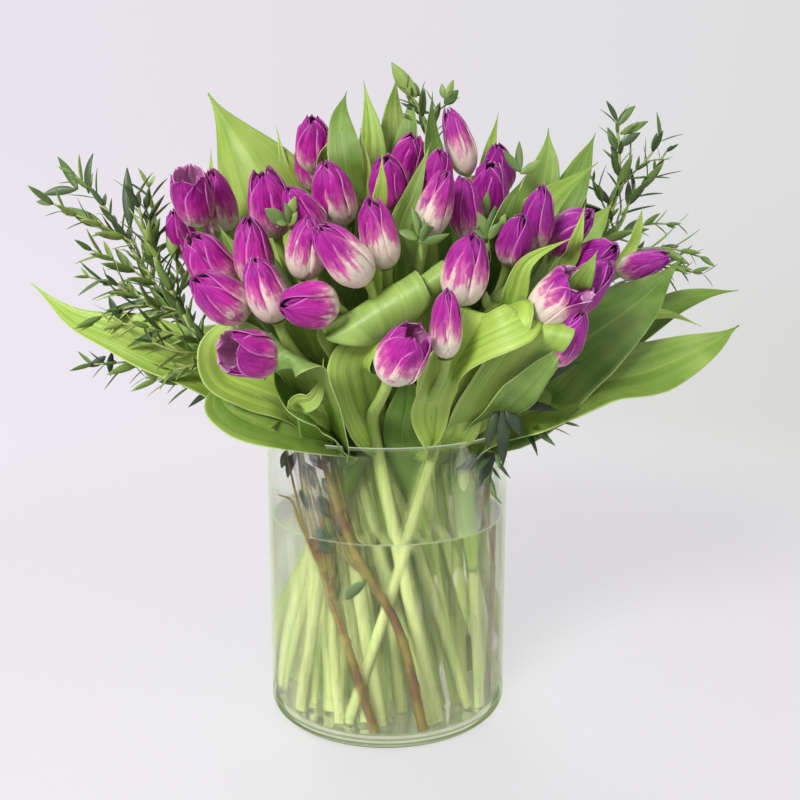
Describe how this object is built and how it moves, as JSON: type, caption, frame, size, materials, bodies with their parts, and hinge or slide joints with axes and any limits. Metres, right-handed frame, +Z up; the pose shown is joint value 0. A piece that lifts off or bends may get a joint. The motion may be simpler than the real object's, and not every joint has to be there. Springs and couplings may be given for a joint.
{
  "type": "tulips in a vase",
  "caption": "Cut tulips with broad leaves and narrow-leaved eucalyptus sprays, standing in water in a clear straight cylinder vase.",
  "frame": {"origin": "centre of the vase's flat underside", "axes": "+Z up along the vase's axis, -Y towards the front of the bouquet, +X to its right"},
  "size_m": [0.5505, 0.3721, 0.5294],
  "materials": {
    "vase_glass": "clear thick glass, faintly green in the base, polished",
    "water": "clear still water",
    "tulip_petal": "satin magenta-purple petals that feather into cream at the base",
    "tulip_leaf_and_stem": "satin mid-green leaves with fine lengthwise veins, pale green stems",
    "eucalyptus": "matt dark grey-green narrow leaves on thin brown twigs"
  },
  "bodies": {
    "root": {"bloom_01": "tulip_petal", "bloom_02": "tulip_petal", "bloom_03": "tulip_petal", "bloom_04": "tulip_petal", "bloom_05": "tulip_petal", "bloom_06": "tulip_petal", "bloom_07": "tulip_petal", "bloom_08": "tulip_petal", "bloom_09": "tulip_petal", "bloom_10": "tulip_petal", "bloom_11": "tulip_petal", "bloom_12": "tulip_petal", "bloom_13": "tulip_petal", "bloom_14": "tulip_petal", "bloom_15": "tulip_petal", "bloom_16": "tulip_petal", "bloom_17": "tulip_petal", "bloom_18": "tulip_petal", "bloom_19": "tulip_petal", "bloom_20": "tulip_petal", "bloom_21": "tulip_petal", "bloom_22": "tulip_petal", "bloom_23": "tulip_petal", "bloom_24": "tulip_petal", "bloom_25": "tulip_petal", "bloom_26": "tulip_petal", "bloom_27": "tulip_petal", "bloom_28": "tulip_petal", "bloom_29": "tulip_petal", "bloom_30": "tulip_petal", "bloom_31": "tulip_petal", "bloom_32": "tulip_petal", "bloom_33": "tulip_petal", "bloom_34": "tulip_petal", "bloom_35": "tulip_petal", "bloom_36": "tulip_petal", "bloom_37": "tulip_petal", "bloom_38": "tulip_petal", "bloom_39": "tulip_petal", "bloom_40": "tulip_petal", "bloom_41": "tulip_petal", "bloom_42": "tulip_petal", "bloom_43": "tulip_petal", "eucalyptus_left": "eucalyptus", "eucalyptus_left_low": "eucalyptus", "eucalyptus_low_right": "eucalyptus", "eucalyptus_right": "eucalyptus", "eucalyptus_top": "eucalyptus", "leafy_stems_back_left": "tulip_leaf_and_stem", "leafy_stems_back_right": "tulip_leaf_and_stem", "leafy_stems_front_left": "tulip_leaf_and_stem", "leafy_stems_front_middle": "tulip_leaf_and_stem", "leafy_stems_left": "tulip_leaf_and_stem", "leafy_stems_low_left": "tulip_leaf_and_stem", "leafy_stems_low_right": "tulip_leaf_and_stem", "leafy_stems_middle": "tulip_leaf_and_stem", "leafy_stems_middle_left": "tulip_leaf_and_stem", "leafy_stems_right": "tulip_leaf_and_stem", "vase": "vase_glass", "water": "water"}
  },
  "joints": []
}
